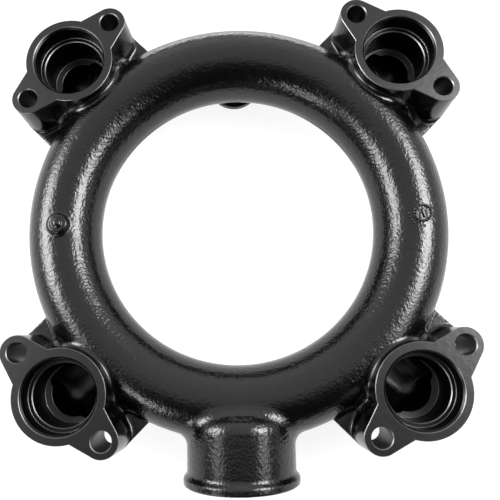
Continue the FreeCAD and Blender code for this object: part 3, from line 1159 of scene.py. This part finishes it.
def floor_material():
    """Pale floor. Much of its white is its own, so that it stays white in the picture, and the rest takes light. Where
    mirrors see it, its own white carries a painted shadow under the ports.
    """
    material = bpy.data.materials.new("studio_floor")
    material.use_nodes = True
    tree = material.node_tree
    tree.nodes.clear()
    path = node_of(tree, "ShaderNodeLightPath").outputs
    mirrored = worked_out(tree, "MAXIMUM", path["Is Glossy Ray"], path["Is Transmission Ray"])
    # painted shadow: glossy and transmission rays see the floor's own white dimmed under the ports
    with_painted_shadow = worked_out(tree, "MULTIPLY", mirrored, painted_port_shadow(tree))
    seen = worked_out(tree, "MAXIMUM", path["Is Camera Ray"], with_painted_shadow)
    strength = worked_out(tree, "MULTIPLY", seen, stage_settings().floor_glow)
    diffuse = node_of(tree, "ShaderNodeBsdfDiffuse", {"Color": FLOOR_COLOUR}).outputs[0]
    glow = node_of(tree, "ShaderNodeEmission", {"Strength": strength}).outputs[0]
    both = node_of(tree, "ShaderNodeAddShader", {0: diffuse, 1: glow}).outputs[0]
    node_of(tree, "ShaderNodeOutputMaterial", {"Surface": both})
    return material


def surroundings():
    """Dim room with a lighter far side and a bright band near the horizon."""
    world = bpy.data.worlds.new("studio")
    bpy.context.scene.world = world
    world.use_nodes = True
    tree = world.node_tree
    tree.nodes.clear()
    way = node_of(tree, "ShaderNodeTexCoord").outputs["Generated"]
    parts = node_of(tree, "ShaderNodeSeparateXYZ", {"Vector": way}).outputs
    towards_back = worked_out(tree, "MULTIPLY_ADD", parts["Y"], 0.5, 0.5)
    room = curved(tree, towards_back, ROOM_LIGHT)
    horizon = curved(tree, towards_back, HORIZON_LIGHT)
    low = ramp(tree, parts["Z"], *HORIZON_BAND, 1.0, 0.0, "SMOOTHSTEP")
    light = worked_out(tree, "MULTIPLY", mixed(tree, low, room, horizon), stage_settings().room_light)
    seen = node_of(tree, "ShaderNodeLightPath").outputs["Is Camera Ray"]
    ground = node_of(tree, "ShaderNodeBackground", {"Color": (1, 1, 1, 1), "Strength": mixed(tree, seen, light, 1.0)})
    node_of(tree, "ShaderNodeOutputWorld", {"Surface": ground.outputs[0]})


def curved(tree, value, points):
    """Output of a float curve through the points."""
    node = node_of(tree, "ShaderNodeFloatCurve", {"Value": value})
    curve = node.mapping.curves[0]
    while len(curve.points) < len(points):
        curve.points.new(0.5, 0.5)
    for point, place in zip(curve.points, points):
        point.location = place
    node.mapping.update()
    return node.outputs["Value"]


def studio_camera():
    """The camera that sees the object as the photo does."""
    t = stage_settings()
    data = bpy.data.cameras.new("studio_camera")
    data.sensor_width = 36
    data.lens = t.camera_lens
    data.shift_x, data.shift_y = t.camera_shift_x, t.camera_shift_y
    data.clip_start, data.clip_end = 0.01, 100
    camera = bpy.data.objects.new("studio_camera", data)
    bpy.context.scene.collection.objects.link(camera)
    turn = (Matrix.Rotation(t.camera_roll_y, 3, "Y") @ Matrix.Rotation(t.camera_pitch, 3, "X")
            @ Matrix.Rotation(t.camera_turn, 3, "Z"))
    place = Matrix.Translation((t.camera_place_x, t.camera_place_y, t.camera_place_z))
    camera.matrix_world = place @ turn.transposed().to_4x4()
    bpy.context.scene.camera = camera


def build_stage():
    """Makes the floor, the softboxes, the surroundings and the camera."""
    t = stage_settings()
    level = layout().level
    bpy.ops.mesh.primitive_plane_add(size=t.floor_size, location=(0, 0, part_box(NODE)[0].z - FLOOR_GAP))
    floor = bake_place(named("floor"))
    floor.data.materials.append(floor_material())
    for name, place, aim, size, light, share in SOFTBOXES:
        area_light(name, (place[0], place[1], place[2] + level), (aim[0], aim[1], aim[2] + level), size,
                   share * getattr(t, light))
    surroundings()
    studio_camera()
    bpy.context.scene.view_settings.view_transform = "Standard"


class MANIFOLD_OT_casting(Operator):
    """Build the casting: outside, flange faces, bores, hollows and finishes"""

    bl_idname = "manifold.casting"
    bl_label = "Build casting"
    bl_options = {"REGISTER", "UNDO"}

    def execute(self, context):
        build_casting()
        return {"FINISHED"}


class MANIFOLD_OT_stage(Operator):
    """Build the stage: floor, softboxes, surroundings and camera"""

    bl_idname = "manifold.stage"
    bl_label = "Build stage"
    bl_options = {"REGISTER", "UNDO"}

    def execute(self, context):
        build_stage()
        return {"FINISHED"}


class MANIFOLD_PT_panel(Panel):
    """Sizes, finishes and buttons in the sidebar"""

    bl_label = "Discharge manifold"
    bl_idname = "MANIFOLD_PT_panel"
    bl_space_type = "VIEW_3D"
    bl_region_type = "UI"
    bl_category = "Manifold"

    def draw(self, context):
        for group in (getattr(context.scene, name) for name in GROUPS):
            box = self.layout.box()
            for key in group.bl_rna.properties.keys():
                if key not in {"rna_type", "name"}:
                    box.prop(group, key)
        self.layout.operator("manifold.casting")
        self.layout.operator("manifold.stage")


CLASSES = (*GROUPS.values(), MANIFOLD_OT_casting, MANIFOLD_OT_stage, MANIFOLD_PT_panel)


def register():
    for item in CLASSES:
        bpy.utils.register_class(item)
    for name, group in GROUPS.items():
        setattr(bpy.types.Scene, name, PointerProperty(type=group))


def unregister():
    for name in GROUPS:
        delattr(bpy.types.Scene, name)
    for item in reversed(CLASSES):
        bpy.utils.unregister_class(item)


def main():
    """Registers the add-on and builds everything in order."""
    register()
    for step in (bpy.ops.manifold.casting, bpy.ops.manifold.stage):
        if step() != {"FINISHED"}:
            raise RuntimeError("a step of the scene did not finish")


if __name__ == "__main__":
    main()
